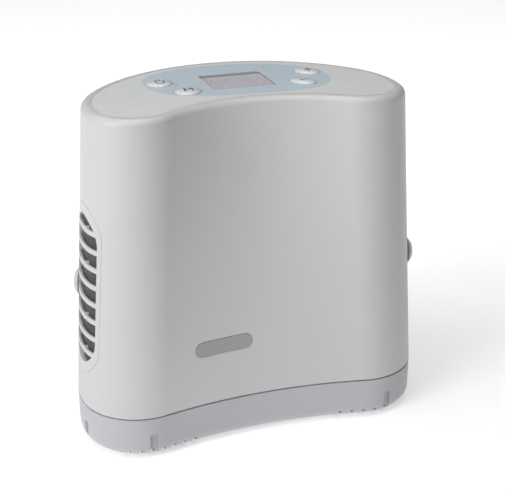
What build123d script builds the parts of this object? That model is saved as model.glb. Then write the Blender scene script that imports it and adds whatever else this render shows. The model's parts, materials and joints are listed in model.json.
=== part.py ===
"""Portable oxygen concentrator: bean-shaped housing on a clip-on battery, modelled piece by piece.

Frame: millimetres, +Z up, the control panel on top, the concave side facing -Y.
The origin is at the centre of the footprint, on the surface that the feet stand on.
"""

from build123d import *
from math import atan2, cos, degrees, hypot, radians, sin
import os

os.makedirs("parts", exist_ok=True)

# ---------------------------------------------------------------- driving dimensions
HEIGHT = 231.0           # top face of the housing
PARTING_Z = 30.5         # lower edge of the housing
TRAY_TOP_Z = 29.7        # upper edge of the battery, leaving a thin shadow gap
FOOT_H = 0.8             # how far the feet stand out of the battery
WALL = 2.5               # wall of the housing and of the battery tray
ROOF = 3.0
TOP_FILLET = 5.0
BOTTOM_FILLET = 9.0
LIP_FILLET = 0.6         # both edges of the parting line

# The plan outline is built from tangent arcs: a wide back arc, two shoulders, two end lobes
# and a concave front. It is mirrored about X = 0.
SHOULDER_R = 68.0
SHOULDER_FROM = 35.6     # direction of the shoulder's normal where it meets the back arc
SHOULDER_TO = -8.8       # and where it meets the end lobe
BASE_OUTLINE = {"lobe_x": 80.0, "lobe_y": -29.65, "lobe_r": 39.8, "front_depth": 369.0}
TOP_OUTLINE = {"lobe_x": 75.6, "lobe_y": -29.95, "lobe_r": 30.7, "front_depth": 106.0}

# control panel
PANEL_INSET = 6.8
PANEL_DEPTH = 0.8
OVERLAY_T = 0.7
ROUND_KEY = (17.8, 17.0, 0.0)        # length, width, direction of the length
OVAL_KEY = (19.2, 13.2, -50.0)
KEYS = {
    "power_key": ((-47.2, 16.8), ROUND_KEY),
    "mode_key": ((-34.5, -7.6), ROUND_KEY),
    "plus_key": ((57.0, 15.1), OVAL_KEY),
    "minus_key": ((45.1, -8.4), OVAL_KEY),
}
KEY_DOME_H = 1.9         # top of the key above the panel's face
KEY_DOME_RISE = 2.4      # half height of the ellipsoid that the dome is part of
KEY_DOME_GROW = 1.04     # its width against the key's
KEY_GAP = 0.25
KEY_FLANGE_W = 1.4
KEY_TRAVEL = 1.0
LED_AT = (-37.0, 10.4)
LED_HOLE_R = 1.25
WINDOW_AT = (4.5, 8.5)
WINDOW_SIZE = (44.0, 38.0)
WINDOW_R = 2.0
LENS_T = 1.0
LENS_LAP = 2.0           # how far the lens reaches under the overlay on each side

# intake grille on the left end, and exhaust grille in the back
GRILLE_PROUD = 0.15
GRILLE_GAP = 0.12
GRILLE_SEAT = 1.2
INTAKE_Y = -29.85
INTAKE_Z = 112.8
INTAKE_SIZE = (103.0, 35.6)          # height and width of the slotted window
INTAKE_RIM = (7.0, 3.0)              # width of the rim above and beside the window
EXHAUST_RIM = 3.0
INTAKE_PITCH = 12.05
INTAKE_BARS = 8
BAR_H = 3.1
PEG_BARS = (0, 2, 5, 7)
PEG_R = 2.2
PEG_FORWARD = 3.5        # pegs stand this far in front of the grille's middle
FILTER_T = 6.0
EXHAUST_Z = 82.0
EXHAUST_SIZE = (84.0, 34.0)
EXHAUST_PITCH = 7.0
EXHAUST_BARS = 12
PRISM_DEPTH = 60.0       # how far a prism reaches in from its side plane

# badge on the concave front
BADGE_AT = (-27.7, 69.8)
BADGE_SIZE = (40.5, 10.0)
BADGE_PROUD = 0.3
BADGE_SEAT = 0.9

# machinery
CRANK_Y, CRANK_Z = 10.0, 86.0
CRANK_THROW = 3.0
CRANKPIN_R = 6.0
SHAFT_R = 4.0
BORE_R = 15.05
PISTON_R = 15.0
BED_X, BED_Y, BED_R = 78.0, -28.0, 22.0
BED_Z = (40.0, 192.0)
CELL_R, CELL_L, CELL_PITCH, CELL_Z = 10.6, 70.0, 22.0, 15.6
LID_Z = 27.2                         # underside of the battery lid
CONTACT_Y = 36.0
HOOK_TOP_Z = 36.0
DISPLAY_BOARD_Z = 214.0
SWITCH_TOP_Z = 219.4
DECK_Z = (30.0, 33.5)
RUN_GAP = 0.05                       # radial clearance of a running fit


# ---------------------------------------------------------------- outline helpers
def outline_at(z):
    """Outline dimensions at height z: straight below the parting line, tapering above it."""
    share = max(0.0, (z - PARTING_Z) / (HEIGHT - PARTING_Z))
    return {key: BASE_OUTLINE[key] + share * (TOP_OUTLINE[key] - BASE_OUTLINE[key]) for key in BASE_OUTLINE}


def shoulder_centre(dims):
    reach = SHOULDER_R - dims["lobe_r"]
    x = dims["lobe_x"] - reach * cos(radians(SHOULDER_TO))
    y = dims["lobe_y"] - reach * sin(radians(SHOULDER_TO))
    return x, y


def bean(dims, inset=0.0):
    """Bean-shaped face, moved inwards by inset. Call it inside a BuildSketch."""
    lobe_x, lobe_y, lobe_r = dims["lobe_x"], dims["lobe_y"], dims["lobe_r"]
    sx, sy = shoulder_centre(dims)
    back_r = SHOULDER_R + sx / cos(radians(SHOULDER_FROM))
    back_y = sy - (back_r - SHOULDER_R) * sin(radians(SHOULDER_FROM))
    front_y = lobe_y - dims["front_depth"]
    front_r = hypot(lobe_x, dims["front_depth"]) - lobe_r
    front_at = degrees(atan2(dims["front_depth"], lobe_x))
    shoulder_arc = SHOULDER_FROM - SHOULDER_TO
    lobe_arc = SHOULDER_TO - front_at + 180
    with BuildLine() as profile:
        CenterArc((0, back_y), back_r - inset, SHOULDER_FROM, 180 - 2 * SHOULDER_FROM)
        CenterArc((-sx, sy), SHOULDER_R - inset, 180 - SHOULDER_FROM, shoulder_arc)
        CenterArc((-lobe_x, lobe_y), lobe_r - inset, 180 - SHOULDER_TO, lobe_arc)
        CenterArc((0, front_y), front_r + inset, 180 - front_at, 2 * front_at - 180)
        CenterArc((lobe_x, lobe_y), lobe_r - inset, front_at - 180, lobe_arc)
        CenterArc((sx, sy), SHOULDER_R - inset, SHOULDER_TO, shoulder_arc)
    make_face(profile.edges())


def body_volume(inset, top_z=HEIGHT):
    """The tapering solid inside the housing's surface, moved inwards by inset and cut off at top_z."""
    with BuildPart() as volume:
        with BuildSketch(Plane.XY.offset(PARTING_Z)):
            bean(BASE_OUTLINE, inset)
        with BuildSketch(Plane.XY.offset(HEIGHT)):
            bean(TOP_OUTLINE, inset)
        loft(ruled=True)
        if top_z < HEIGHT:
            split(bisect_by=Plane.XY.offset(top_z), keep=Keep.BOTTOM)
    return volume.part


def wall_layer(outer_inset, inner_inset):
    """A layer of the housing's wall between two depths below its surface."""
    with BuildPart() as layer:
        add(body_volume(outer_inset))
        add(body_volume(inner_inset), mode=Mode.SUBTRACT)
    return layer.part


def shoulder_plane(side, direction, z):
    """Plane on the shoulder's surface, facing straight out. side is +1 or -1."""
    sx, sy = shoulder_centre(outline_at(z))
    nx, ny = cos(radians(direction)), sin(radians(direction))
    origin = (side * (sx + SHOULDER_R * nx), sy + SHOULDER_R * ny, z)
    return Plane(origin=origin, x_dir=(-side * ny, nx, 0), z_dir=(side * nx, ny, 0))


def tube_run(points, bend_r, tube_r):
    """Round rod along straight runs joined by bends."""
    with BuildPart() as tube:
        with BuildLine() as path:
            FilletPolyline(*points, radius=bend_r)
        with BuildSketch(Plane(origin=path.line @ 0, z_dir=path.line % 0)):
            Circle(tube_r)
        sweep(path=path.line)
    return tube.part


def finish(name, part):
    part.label = name
    export_step(part, f"parts/{name}.step")


LEFT_SIDE = Plane(origin=(-150, 0, 0), x_dir=(0, -1, 0), z_dir=(-1, 0, 0))
FRONT_SIDE = Plane(origin=(0, -100, 0), x_dir=(1, 0, 0), z_dir=(0, -1, 0))
BACK_SIDE = Plane(origin=(0, 100, 0), x_dir=(-1, 0, 0), z_dir=(0, 1, 0))


def intake_prism(grow_z, grow_y):
    """Upright stadium through the left wall, larger than the slotted window by the two amounts."""
    with BuildPart() as prism:
        with BuildSketch(LEFT_SIDE):
            with Locations((-INTAKE_Y, INTAKE_Z)):
                SlotOverall(INTAKE_SIZE[0] + 2 * grow_z, INTAKE_SIZE[1] + 2 * grow_y, rotation=90)
        extrude(amount=-PRISM_DEPTH)
    return prism.part


def intake_slots():
    """The slots between the intake's bars, clipped to its rounded window."""
    with BuildPart() as slots:
        with BuildSketch(LEFT_SIDE):
            with Locations((-INTAKE_Y, INTAKE_Z)):
                SlotOverall(INTAKE_SIZE[0], INTAKE_SIZE[1], rotation=90)
                with GridLocations(0, INTAKE_PITCH, 1, INTAKE_BARS):
                    Rectangle(INTAKE_SIZE[1] + 2, BAR_H, mode=Mode.SUBTRACT)
        extrude(amount=-PRISM_DEPTH)
    return slots.part


def filter_pegs():
    """Round pegs behind four of the bars, as long as the prisms."""
    with BuildPart() as pegs:
        with BuildSketch(LEFT_SIDE):
            for bar in PEG_BARS:
                with Locations((PEG_FORWARD - INTAKE_Y, INTAKE_Z + (bar - (INTAKE_BARS - 1) / 2) * INTAKE_PITCH)):
                    Circle(PEG_R)
        extrude(amount=-PRISM_DEPTH)
    return pegs.part


def exhaust_prism(grow):
    """Wide stadium through the back wall."""
    with BuildPart() as prism:
        with BuildSketch(BACK_SIDE):
            with Locations((0, EXHAUST_Z)):
                SlotOverall(EXHAUST_SIZE[0] + 2 * grow, EXHAUST_SIZE[1] + 2 * grow)
        extrude(amount=-PRISM_DEPTH)
    return prism.part


def exhaust_slots():
    """The slots between the exhaust grille's bars."""
    with BuildPart() as slots:
        with BuildSketch(BACK_SIDE):
            with Locations((0, EXHAUST_Z)):
                SlotOverall(EXHAUST_SIZE[0], EXHAUST_SIZE[1])
                with GridLocations(EXHAUST_PITCH, 0, EXHAUST_BARS, 1):
                    Rectangle(BAR_H, EXHAUST_SIZE[1] + 2, mode=Mode.SUBTRACT)
        extrude(amount=-PRISM_DEPTH)
    return slots.part


def badge_prism(grow):
    """Stadium through the concave front wall."""
    with BuildPart() as prism:
        with BuildSketch(FRONT_SIDE):
            with Locations(BADGE_AT):
                SlotOverall(BADGE_SIZE[0] + 2 * grow, BADGE_SIZE[1] + 2 * grow)
        extrude(amount=-PRISM_DEPTH - 10)
    return prism.part


# ---------------------------------------------------------------- side fittings: places
STUD_HOLE_R = 2.6
STUD_NECK_R = 6.0
FLANGE_R = 9.0
SPOT_DEPTH = 0.8         # flat seats are cut this deep into the tapering wall
STUDS = {
    "strap_stud_left": shoulder_plane(-1, 24.5, 103.0),
    "strap_stud_right": shoulder_plane(1, -6.5, 109.0),
}
OUTLET_PLANE = shoulder_plane(1, 55.0, 190.0)
OUTLET_HOLE_R = 5.1
INLET_PLANE = shoulder_plane(-1, 58.0, 58.0)
INLET_HOLE_R = 6.1
FITTINGS = [(plane, STUD_NECK_R, STUD_HOLE_R) for plane in STUDS.values()] + [
    (OUTLET_PLANE, FLANGE_R, OUTLET_HOLE_R),
    (INLET_PLANE, FLANGE_R, INLET_HOLE_R),
]
HOUSING_BOSSES = [(side * x, y) for x, y in ((112.4, -25.0), (50.0, 52.0), (80.0, -62.4)) for side in (-1, 1)]
BOSS_TOP_Z = 50.0
BOSS_R = 5.0
SCREW_R = 1.5
SCREW_HOLE_R = 1.55


def key_oval(shape, grow, mode=Mode.ADD):
    """Key outline, larger all round by grow. Call it inside a BuildSketch."""
    length, width, direction = shape
    Ellipse(length / 2 + grow, width / 2 + grow, rotation=direction, mode=mode)


def key_dome(centre, shape):
    """The ellipsoid whose top is a key's dome."""
    length, width, direction = shape
    half_size = (length / 2 * KEY_DOME_GROW, width / 2 * KEY_DOME_GROW, KEY_DOME_RISE)
    place = Pos(centre[0], centre[1], HEIGHT + KEY_DOME_H - KEY_DOME_RISE) * Rot(0, 0, direction)
    return place * scale(Sphere(1), by=half_size)


# ---------------------------------------------------------------- housing
with BuildPart() as main_housing:
    add(body_volume(0))
    fillet(main_housing.edges().group_by(Axis.Z)[-1], TOP_FILLET)
    fillet(main_housing.edges().group_by(Axis.Z)[0], LIP_FILLET)
    add(body_volume(WALL, HEIGHT - ROOF), mode=Mode.SUBTRACT)
    # screw bosses that the base deck is fastened to
    with BuildSketch(Plane.XY.offset(DECK_Z[1] + 0.1)):
        with Locations(*HOUSING_BOSSES):
            Circle(BOSS_R)
    extrude(amount=BOSS_TOP_Z - DECK_Z[1] - 0.1)
    with BuildSketch(Plane.XY.offset(DECK_Z[1])):
        with Locations(*HOUSING_BOSSES):
            Circle(SCREW_HOLE_R)
    extrude(amount=12, mode=Mode.SUBTRACT)
    # recess for the panel overlay
    with BuildSketch(Plane.XY.offset(HEIGHT)):
        bean(TOP_OUTLINE, PANEL_INSET)
    extrude(amount=-PANEL_DEPTH, mode=Mode.SUBTRACT)
    # key holes, light pipe hole and display window
    with BuildSketch(Plane.XY.offset(HEIGHT)):
        for centre, shape in KEYS.values():
            with Locations(centre):
                key_oval(shape, KEY_GAP)
        with Locations(LED_AT):
            Circle(LED_HOLE_R)
        with Locations(WINDOW_AT):
            RectangleRounded(WINDOW_SIZE[0], WINDOW_SIZE[1], WINDOW_R)
    extrude(amount=-ROOF - 1, mode=Mode.SUBTRACT)
    # rebate that the display lens drops into
    with BuildSketch(Plane.XY.offset(HEIGHT - PANEL_DEPTH)):
        with Locations(WINDOW_AT):
            RectangleRounded(WINDOW_SIZE[0] + 2 * LENS_LAP, WINDOW_SIZE[1] + 2 * LENS_LAP, WINDOW_R + 1)
    extrude(amount=-LENS_T, mode=Mode.SUBTRACT)
    # seats and openings of the two grilles, and the badge seat
    add(intake_prism(0, 0), mode=Mode.SUBTRACT)
    intake_seat = intake_prism(INTAKE_RIM[0] + GRILLE_GAP, INTAKE_RIM[1] + GRILLE_GAP)
    add(intake_seat & wall_layer(-1, GRILLE_SEAT), mode=Mode.SUBTRACT)
    add(exhaust_prism(0), mode=Mode.SUBTRACT)
    add(exhaust_prism(EXHAUST_RIM + GRILLE_GAP) & wall_layer(-1, GRILLE_SEAT), mode=Mode.SUBTRACT)
    add(badge_prism(0.3) & wall_layer(-1, BADGE_SEAT), mode=Mode.SUBTRACT)
    # flat seats and holes for the strap studs, the oxygen outlet and the power inlet
    for plane, seat_r, hole_r in FITTINGS:
        with BuildSketch(plane.offset(-SPOT_DEPTH)):
            Circle(seat_r + 0.3)
        extrude(amount=4, mode=Mode.SUBTRACT)
        with BuildSketch(plane.offset(1)):
            Circle(hole_r)
        extrude(amount=-7, mode=Mode.SUBTRACT)
finish("main_housing", main_housing.part)

# ---------------------------------------------------------------- intake grille and filter
with BuildPart() as intake_grille:
    add(wall_layer(-GRILLE_PROUD, GRILLE_SEAT - 0.05))
    add(intake_prism(*INTAKE_RIM), mode=Mode.INTERSECT)
    add(intake_slots(), mode=Mode.SUBTRACT)
    add(filter_pegs() & wall_layer(0, WALL - 0.1))
finish("intake_grille", intake_grille.part)

with BuildPart() as intake_filter:
    add(intake_prism(-0.3, -0.3))
    add(wall_layer(WALL, WALL + FILTER_T), mode=Mode.INTERSECT)
finish("intake_filter", intake_filter.part)

# ---------------------------------------------------------------- exhaust grille and screen
with BuildPart() as exhaust_grille:
    add(wall_layer(-GRILLE_PROUD, GRILLE_SEAT - 0.05))
    add(exhaust_prism(EXHAUST_RIM), mode=Mode.INTERSECT)
    add(exhaust_slots(), mode=Mode.SUBTRACT)
finish("exhaust_grille", exhaust_grille.part)

with BuildPart() as exhaust_screen:
    add(exhaust_prism(2))
    add(wall_layer(WALL, WALL + 0.8), mode=Mode.INTERSECT)
finish("exhaust_screen", exhaust_screen.part)

# ---------------------------------------------------------------- control panel
with BuildPart() as panel_overlay:
    with BuildSketch(Plane.XY.offset(HEIGHT - PANEL_DEPTH)):
        bean(TOP_OUTLINE, PANEL_INSET + 0.15)
        for centre, shape in KEYS.values():
            with Locations(centre):
                key_oval(shape, KEY_GAP, Mode.SUBTRACT)
        with Locations(LED_AT):
            Circle(LED_HOLE_R, mode=Mode.SUBTRACT)
        with Locations(WINDOW_AT):
            RectangleRounded(WINDOW_SIZE[0], WINDOW_SIZE[1], WINDOW_R, mode=Mode.SUBTRACT)
    extrude(amount=OVERLAY_T)
finish("panel_overlay", panel_overlay.part)

with BuildPart() as lcd_lens:
    lens_lap = LENS_LAP - 0.2
    with BuildSketch(Plane.XY.offset(HEIGHT - PANEL_DEPTH - LENS_T)):
        with Locations(WINDOW_AT):
            RectangleRounded(WINDOW_SIZE[0] + 2 * lens_lap, WINDOW_SIZE[1] + 2 * lens_lap, WINDOW_R + 0.8)
    extrude(amount=LENS_T - 0.05)
finish("lcd_lens", lcd_lens.part)

STATUS_LENS_Z = (DISPLAY_BOARD_Z + 5.0, HEIGHT - 0.1)
with BuildPart() as status_lens:
    with BuildSketch(Plane.XY.offset(STATUS_LENS_Z[0])):
        with Locations(LED_AT):
            Circle(LED_HOLE_R - 0.1)
    extrude(amount=STATUS_LENS_Z[1] - STATUS_LENS_Z[0])
finish("status_lens", status_lens.part)

ROOF_Z = HEIGHT - ROOF   # underside of the roof
KEY_FLANGE_Z = ROOF_Z - 1.4
for key_name, (centre, shape) in KEYS.items():
    dome = key_dome(centre, shape)
    with BuildPart() as key:
        # cap with a domed top, on a straight skirt
        with BuildSketch(Plane.XY.offset(HEIGHT)):
            with Locations(centre):
                key_oval(shape, 0)
        extrude(amount=KEY_DOME_H)
        add(dome, mode=Mode.INTERSECT)
        with BuildSketch(Plane.XY.offset(KEY_FLANGE_Z)):
            with Locations(centre):
                key_oval(shape, 0)
        extrude(amount=HEIGHT - KEY_FLANGE_Z)
        # flange that keeps the key under the roof, and the stem above its switch
        with BuildSketch(Plane.XY.offset(KEY_FLANGE_Z)):
            with Locations(centre):
                key_oval(shape, KEY_FLANGE_W)
        extrude(amount=1.2)
        with BuildSketch(Plane.XY.offset(KEY_FLANGE_Z)):
            with Locations(centre):
                Circle(2.5)
        extrude(amount=-(KEY_FLANGE_Z - SWITCH_TOP_Z - KEY_TRAVEL - 0.2))
    finish(key_name, key.part)

# ---------------------------------------------------------------- fittings on the outside
with BuildPart() as front_badge:
    add(badge_prism(0))
    add(wall_layer(-BADGE_PROUD, BADGE_SEAT - 0.05), mode=Mode.INTERSECT)
finish("front_badge", front_badge.part)

STUD_HEAD_R, STUD_TIP_R = 9.2, 6.6
STUD_NECK_H, STUD_RIM_H, STUD_H = 0.9, 1.9, 3.9
for stud_name, plane in STUDS.items():
    with BuildPart() as stud:
        with BuildSketch(plane.offset(-SPOT_DEPTH)):
            Circle(STUD_NECK_R)
        extrude(amount=SPOT_DEPTH + STUD_NECK_H)
        with BuildSketch(plane.offset(STUD_NECK_H)):
            Circle(STUD_HEAD_R)
        extrude(amount=STUD_RIM_H - STUD_NECK_H)
        with BuildSketch(plane.offset(STUD_RIM_H)):
            Circle(STUD_HEAD_R)
        with BuildSketch(plane.offset(STUD_H)):
            Circle(STUD_TIP_R)
        loft()
        with BuildSketch(plane.offset(-SPOT_DEPTH)):
            Circle(STUD_HOLE_R - RUN_GAP)
        extrude(amount=-6.5)
    finish(stud_name, stud.part)

with BuildPart() as strap_stud_nuts:
    for plane in STUDS.values():
        with BuildSketch(plane.offset(-WALL - 0.7)):
            RegularPolygon(4.6, 6)
            Circle(STUD_HOLE_R, mode=Mode.SUBTRACT)
        extrude(amount=-3.2)
finish("strap_stud_nuts", strap_stud_nuts.part)

NOZZLE_R, NOZZLE_L = 3.0, 14.0
with BuildPart() as oxygen_outlet:
    with BuildSketch(OUTLET_PLANE.offset(-SPOT_DEPTH)):
        Circle(FLANGE_R)
    extrude(amount=SPOT_DEPTH + 1.6)
    with BuildSketch(OUTLET_PLANE.offset(1.6)):
        Circle(NOZZLE_R)
    extrude(amount=NOZZLE_L)
    nozzle_rims = oxygen_outlet.edges().filter_by(GeomType.CIRCLE).group_by(SortBy.RADIUS)[0]
    tip_rim = nozzle_rims.sort_by(Axis(OUTLET_PLANE.origin, OUTLET_PLANE.z_dir))[-1]
    chamfer(tip_rim, 0.8)
    with BuildSketch(OUTLET_PLANE.offset(-SPOT_DEPTH)):
        Circle(OUTLET_HOLE_R - 0.1)
    extrude(amount=-11)
    with BuildSketch(OUTLET_PLANE.offset(20)):
        Circle(1.5)
    extrude(amount=-40, mode=Mode.SUBTRACT)
finish("oxygen_outlet", oxygen_outlet.part)

with BuildPart() as outlet_nut:
    with BuildSketch(OUTLET_PLANE.offset(-WALL - 1.2)):
        RegularPolygon(8.5, 6)
        Circle(OUTLET_HOLE_R - 0.05, mode=Mode.SUBTRACT)
    extrude(amount=-4)
finish("outlet_nut", outlet_nut.part)

JACK_BORE_R, JACK_BORE_L = 2.8, 10.0
with BuildPart() as dc_inlet:
    with BuildSketch(INLET_PLANE.offset(-SPOT_DEPTH)):
        Circle(FLANGE_R)
    extrude(amount=SPOT_DEPTH + 1.0)
    with BuildSketch(INLET_PLANE.offset(-SPOT_DEPTH)):
        Circle(INLET_HOLE_R - 0.1)
    extrude(amount=-13)
    with BuildSketch(INLET_PLANE.offset(1.0)):
        Circle(JACK_BORE_R)
    extrude(amount=-JACK_BORE_L, mode=Mode.SUBTRACT)
finish("dc_inlet", dc_inlet.part)

# ---------------------------------------------------------------- battery: tray and feet
GRIP_DEPTH = 2.2
GRIP_W = 3.0
GRIP_X = [-50.9 - 7.65 * i for i in range(7)] + [55.4 + 8.3 * i for i in range(5)]
FLOOR_Z = 4.4
GRIP_TOP_Z = 6.5
FINGER_W, FINGER_DEPTH, FINGER_TOP_Z = 5.4, 1.8, 17.6
FRONT_FINGERS = [(-80.3, -70.0), (89.3, -70.0)]
END_FINGERS = [(-120.0, -37.0), (120.0, -37.0)]
FOOT_PADS = [((102.0, -24.0), 90), ((-102.0, -24.0), 90), ((30.0, 46.0), 0), ((-30.0, 46.0), 0)]
FOOT_L, FOOT_W, FOOT_SEAT = 33.8, 7.0, 0.7
TRAY_BOSSES = [(side * x, y) for x, y in ((104.0, -30.0), (58.0, 33.5), (60.0, -55.5)) for side in (-1, 1)]
LATCH_Z = 15.5
LATCH_SIZE = (35.0, 12.5)


def tray_body(inset, base_z, edge_r):
    """Solid of the tray's outer shape, shrunk by inset and rounded along its bottom edge."""
    with BuildPart() as body:
        with BuildSketch(Plane.XY.offset(base_z)):
            bean(BASE_OUTLINE, inset)
        extrude(amount=TRAY_TOP_Z - base_z)
        fillet(body.edges().group_by(Axis.Z)[0], edge_r)
    return body.part


def grip_grooves():
    """Air grooves across the underside, which wrap up over the rounded edge."""
    with BuildPart() as grooves:
        with BuildSketch(Plane.XY):
            with Locations(*[(x, 0) for x in GRIP_X]):
                Rectangle(GRIP_W, 200)
        extrude(amount=GRIP_TOP_Z)
    core = tray_body(GRIP_DEPTH, FOOT_H + GRIP_DEPTH, BOTTOM_FILLET - GRIP_DEPTH)
    return grooves.part & (tray_body(0, FOOT_H, BOTTOM_FILLET) - core)


def finger_grooves():
    """Short upright grooves up the sides, open at the bottom."""
    with BuildPart() as grooves:
        with BuildSketch(Plane.XY):
            with Locations(*FRONT_FINGERS):
                Rectangle(FINGER_W, 30)
            with Locations(*END_FINGERS):
                Rectangle(30, FINGER_W)
        extrude(amount=FINGER_TOP_Z)
    return grooves.part - tray_body(FINGER_DEPTH, 0, 0.5)


def latch_prism(grow):
    """Slot-shaped opening through the back of the tray."""
    with BuildPart() as prism:
        with BuildSketch(BACK_SIDE):
            with Locations((0, LATCH_Z)):
                SlotOverall(LATCH_SIZE[0] + 2 * grow, LATCH_SIZE[1] + 2 * grow)
        extrude(amount=-50)
    return prism.part


with BuildPart() as battery_tray:
    add(tray_body(0, FOOT_H, BOTTOM_FILLET))
    fillet(battery_tray.edges().group_by(Axis.Z)[-1], LIP_FILLET)
    add(tray_body(WALL, FLOOR_Z, BOTTOM_FILLET - 3), mode=Mode.SUBTRACT)
    with BuildSketch(Plane.XY.offset(FLOOR_Z - 1)):
        with Locations(*TRAY_BOSSES):
            Circle(4.0)
    extrude(amount=LID_Z - FLOOR_Z + 1)
    with BuildSketch(Plane.XY.offset(LID_Z)):
        with Locations(*TRAY_BOSSES):
            Circle(SCREW_HOLE_R)
    extrude(amount=-12, mode=Mode.SUBTRACT)
    # rib that the latch spring pushes against
    with BuildSketch(Plane.XY.offset(FLOOR_Z - 1)):
        with Locations((0, 41.0)):
            Rectangle(18, 2)
    extrude(amount=21)
    add(grip_grooves(), mode=Mode.SUBTRACT)
    add(finger_grooves(), mode=Mode.SUBTRACT)
    # seats of the rubber feet
    with BuildSketch(Plane.XY.offset(FOOT_H)):
        for place, turn in FOOT_PADS:
            with Locations(place):
                SlotOverall(FOOT_L + 0.2, FOOT_W + 0.2, rotation=turn)
    extrude(amount=FOOT_SEAT, mode=Mode.SUBTRACT)
    add(latch_prism(0.3), mode=Mode.SUBTRACT)
finish("battery_tray", battery_tray.part)

with BuildPart() as foot_pads:
    with BuildSketch(Plane.XY):
        for place, turn in FOOT_PADS:
            with Locations(place):
                SlotOverall(FOOT_L, FOOT_W, rotation=turn)
    extrude(amount=FOOT_H + FOOT_SEAT)
finish("foot_pads", foot_pads.part)

# ---------------------------------------------------------------- battery: inside
with BuildPart() as battery_lid:
    with BuildSketch(Plane.XY.offset(LID_Z)):
        bean(BASE_OUTLINE, WALL + 0.2)
        with Locations(*TRAY_BOSSES):
            Circle(SCREW_R + 0.2, mode=Mode.SUBTRACT)
        with Locations((0, 52.0)):
            Rectangle(14, 16, mode=Mode.SUBTRACT)
        with Locations((0, CONTACT_Y)):
            Rectangle(40, 4, mode=Mode.SUBTRACT)
    extrude(amount=TRAY_TOP_Z - LID_Z)
    with Locations(*[(x, y, TRAY_TOP_Z) for x, y in TRAY_BOSSES]):
        CounterSinkHole(SCREW_R + 0.2, 3.2)
finish("battery_lid", battery_lid.part)

with BuildPart() as battery_screws:
    with BuildSketch(Plane.XY.offset(TRAY_TOP_Z - 1.6)):
        with Locations(*TRAY_BOSSES):
            Circle(SCREW_R)
    extrude(amount=-11)
    for x, y in TRAY_BOSSES:
        with Locations((x, y, TRAY_TOP_Z - 1.6)):
            Cone(SCREW_R, 2.9, 1.5, align=(Align.CENTER, Align.CENTER, Align.MIN))
finish("battery_screws", battery_screws.part)

CELL_X = [CELL_PITCH * (i - 3.5) for i in range(8)]
CELL_Y0 = -44.0
with BuildPart() as battery_cells:
    with BuildSketch(Plane.XZ.offset(-CELL_Y0)):
        with Locations(*[(x, CELL_Z) for x in CELL_X]):
            Circle(CELL_R)
    extrude(amount=-CELL_L)
finish("battery_cells", battery_cells.part)

with BuildPart() as cell_holder:
    for y in (-30.0, 8.0):
        with BuildSketch(Plane.XZ.offset(-y)):
            with Locations((0, CELL_Z)):
                Rectangle(8 * CELL_PITCH + 6, LID_Z - FLOOR_Z - 0.4)
            with Locations(*[(x, CELL_Z) for x in CELL_X]):
                Circle(CELL_R + 0.15, mode=Mode.SUBTRACT)
        extrude(amount=-4)
finish("cell_holder", cell_holder.part)

with BuildPart() as battery_board:
    with BuildSketch(Plane.XY.offset(FLOOR_Z + 0.2)):
        with Locations((0, 37.0)):
            Rectangle(88, 1.6)
    extrude(amount=19)
    with BuildSketch(Plane.XZ.offset(-36.2)):
        with Locations((-26, 14), (-8, 14), (12, 14), (30, 14)):
            Rectangle(10, 9)
    extrude(amount=2.6)
finish("battery_board", battery_board.part)

with BuildPart() as battery_contacts:
    with BuildSketch(Plane.XY.offset(CELL_Z + CELL_R + 0.3)):
        with Locations((0, CONTACT_Y)):
            Rectangle(39, 3.4)
    extrude(amount=TRAY_TOP_Z - CELL_Z - CELL_R - 0.3)
    with BuildSketch(Plane.XY.offset(TRAY_TOP_Z)):
        with Locations(*[(8.0 * (i - 2), CONTACT_Y) for i in range(5)]):
            Rectangle(4.0, 1.2)
    extrude(amount=7.5)
finish("battery_contacts", battery_contacts.part)

# ---------------------------------------------------------------- battery latch
with BuildPart() as battery_latch:
    add(tray_body(0.05, FOOT_H, 1.0) - tray_body(WALL + 0.8, FOOT_H, 1.0))
    add(latch_prism(0), mode=Mode.INTERSECT)
    with Locations((0, 58.5, LATCH_Z)):
        Box(20, 17, 8)
    # hook rising through the lid and the base deck
    with Locations((0, 52.5, LATCH_Z)):
        Box(10, 5, HOOK_TOP_Z - LATCH_Z, align=(Align.CENTER, Align.CENTER, Align.MIN))
    with Locations((0, 54.5, HOOK_TOP_Z - 2)):
        Box(10, 4, 2, align=(Align.CENTER, Align.CENTER, Align.MIN))
finish("battery_latch", battery_latch.part)

with BuildPart() as latch_spring:
    with BuildLine():
        coil = Helix(1.9, 7.0, 3.0, center=(0, 42.5, LATCH_Z), direction=(0, 1, 0))
    with BuildSketch(Plane(origin=coil @ 0, z_dir=coil % 0)):
        Circle(0.4)
    sweep(path=coil)
finish("latch_spring", latch_spring.part)

# ---------------------------------------------------------------- base deck
with BuildPart() as base_deck:
    with BuildSketch(Plane.XY.offset(DECK_Z[0])):
        bean(BASE_OUTLINE, WALL + 0.6)
        with Locations(*HOUSING_BOSSES):
            Circle(SCREW_R + 0.2, mode=Mode.SUBTRACT)
        with Locations((0, 51.5)):
            Rectangle(13, 13, mode=Mode.SUBTRACT)
        with Locations((0, CONTACT_Y)):
            Rectangle(44, 8, mode=Mode.SUBTRACT)
    extrude(amount=DECK_Z[1] - DECK_Z[0])
    with BuildSketch(Plane.XY.offset(DECK_Z[0])):
        with Locations(*HOUSING_BOSSES):
            Circle(3.2)
    extrude(amount=2.0, mode=Mode.SUBTRACT)
    # cups that hold the feet of the sieve beds
    with BuildSketch(Plane.XY.offset(DECK_Z[1])):
        with Locations((BED_X, BED_Y), (-BED_X, BED_Y)):
            Circle(BED_R + 2.2)
            Circle(BED_R + 0.2, mode=Mode.SUBTRACT)
    extrude(amount=14)
finish("base_deck", base_deck.part)

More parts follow.
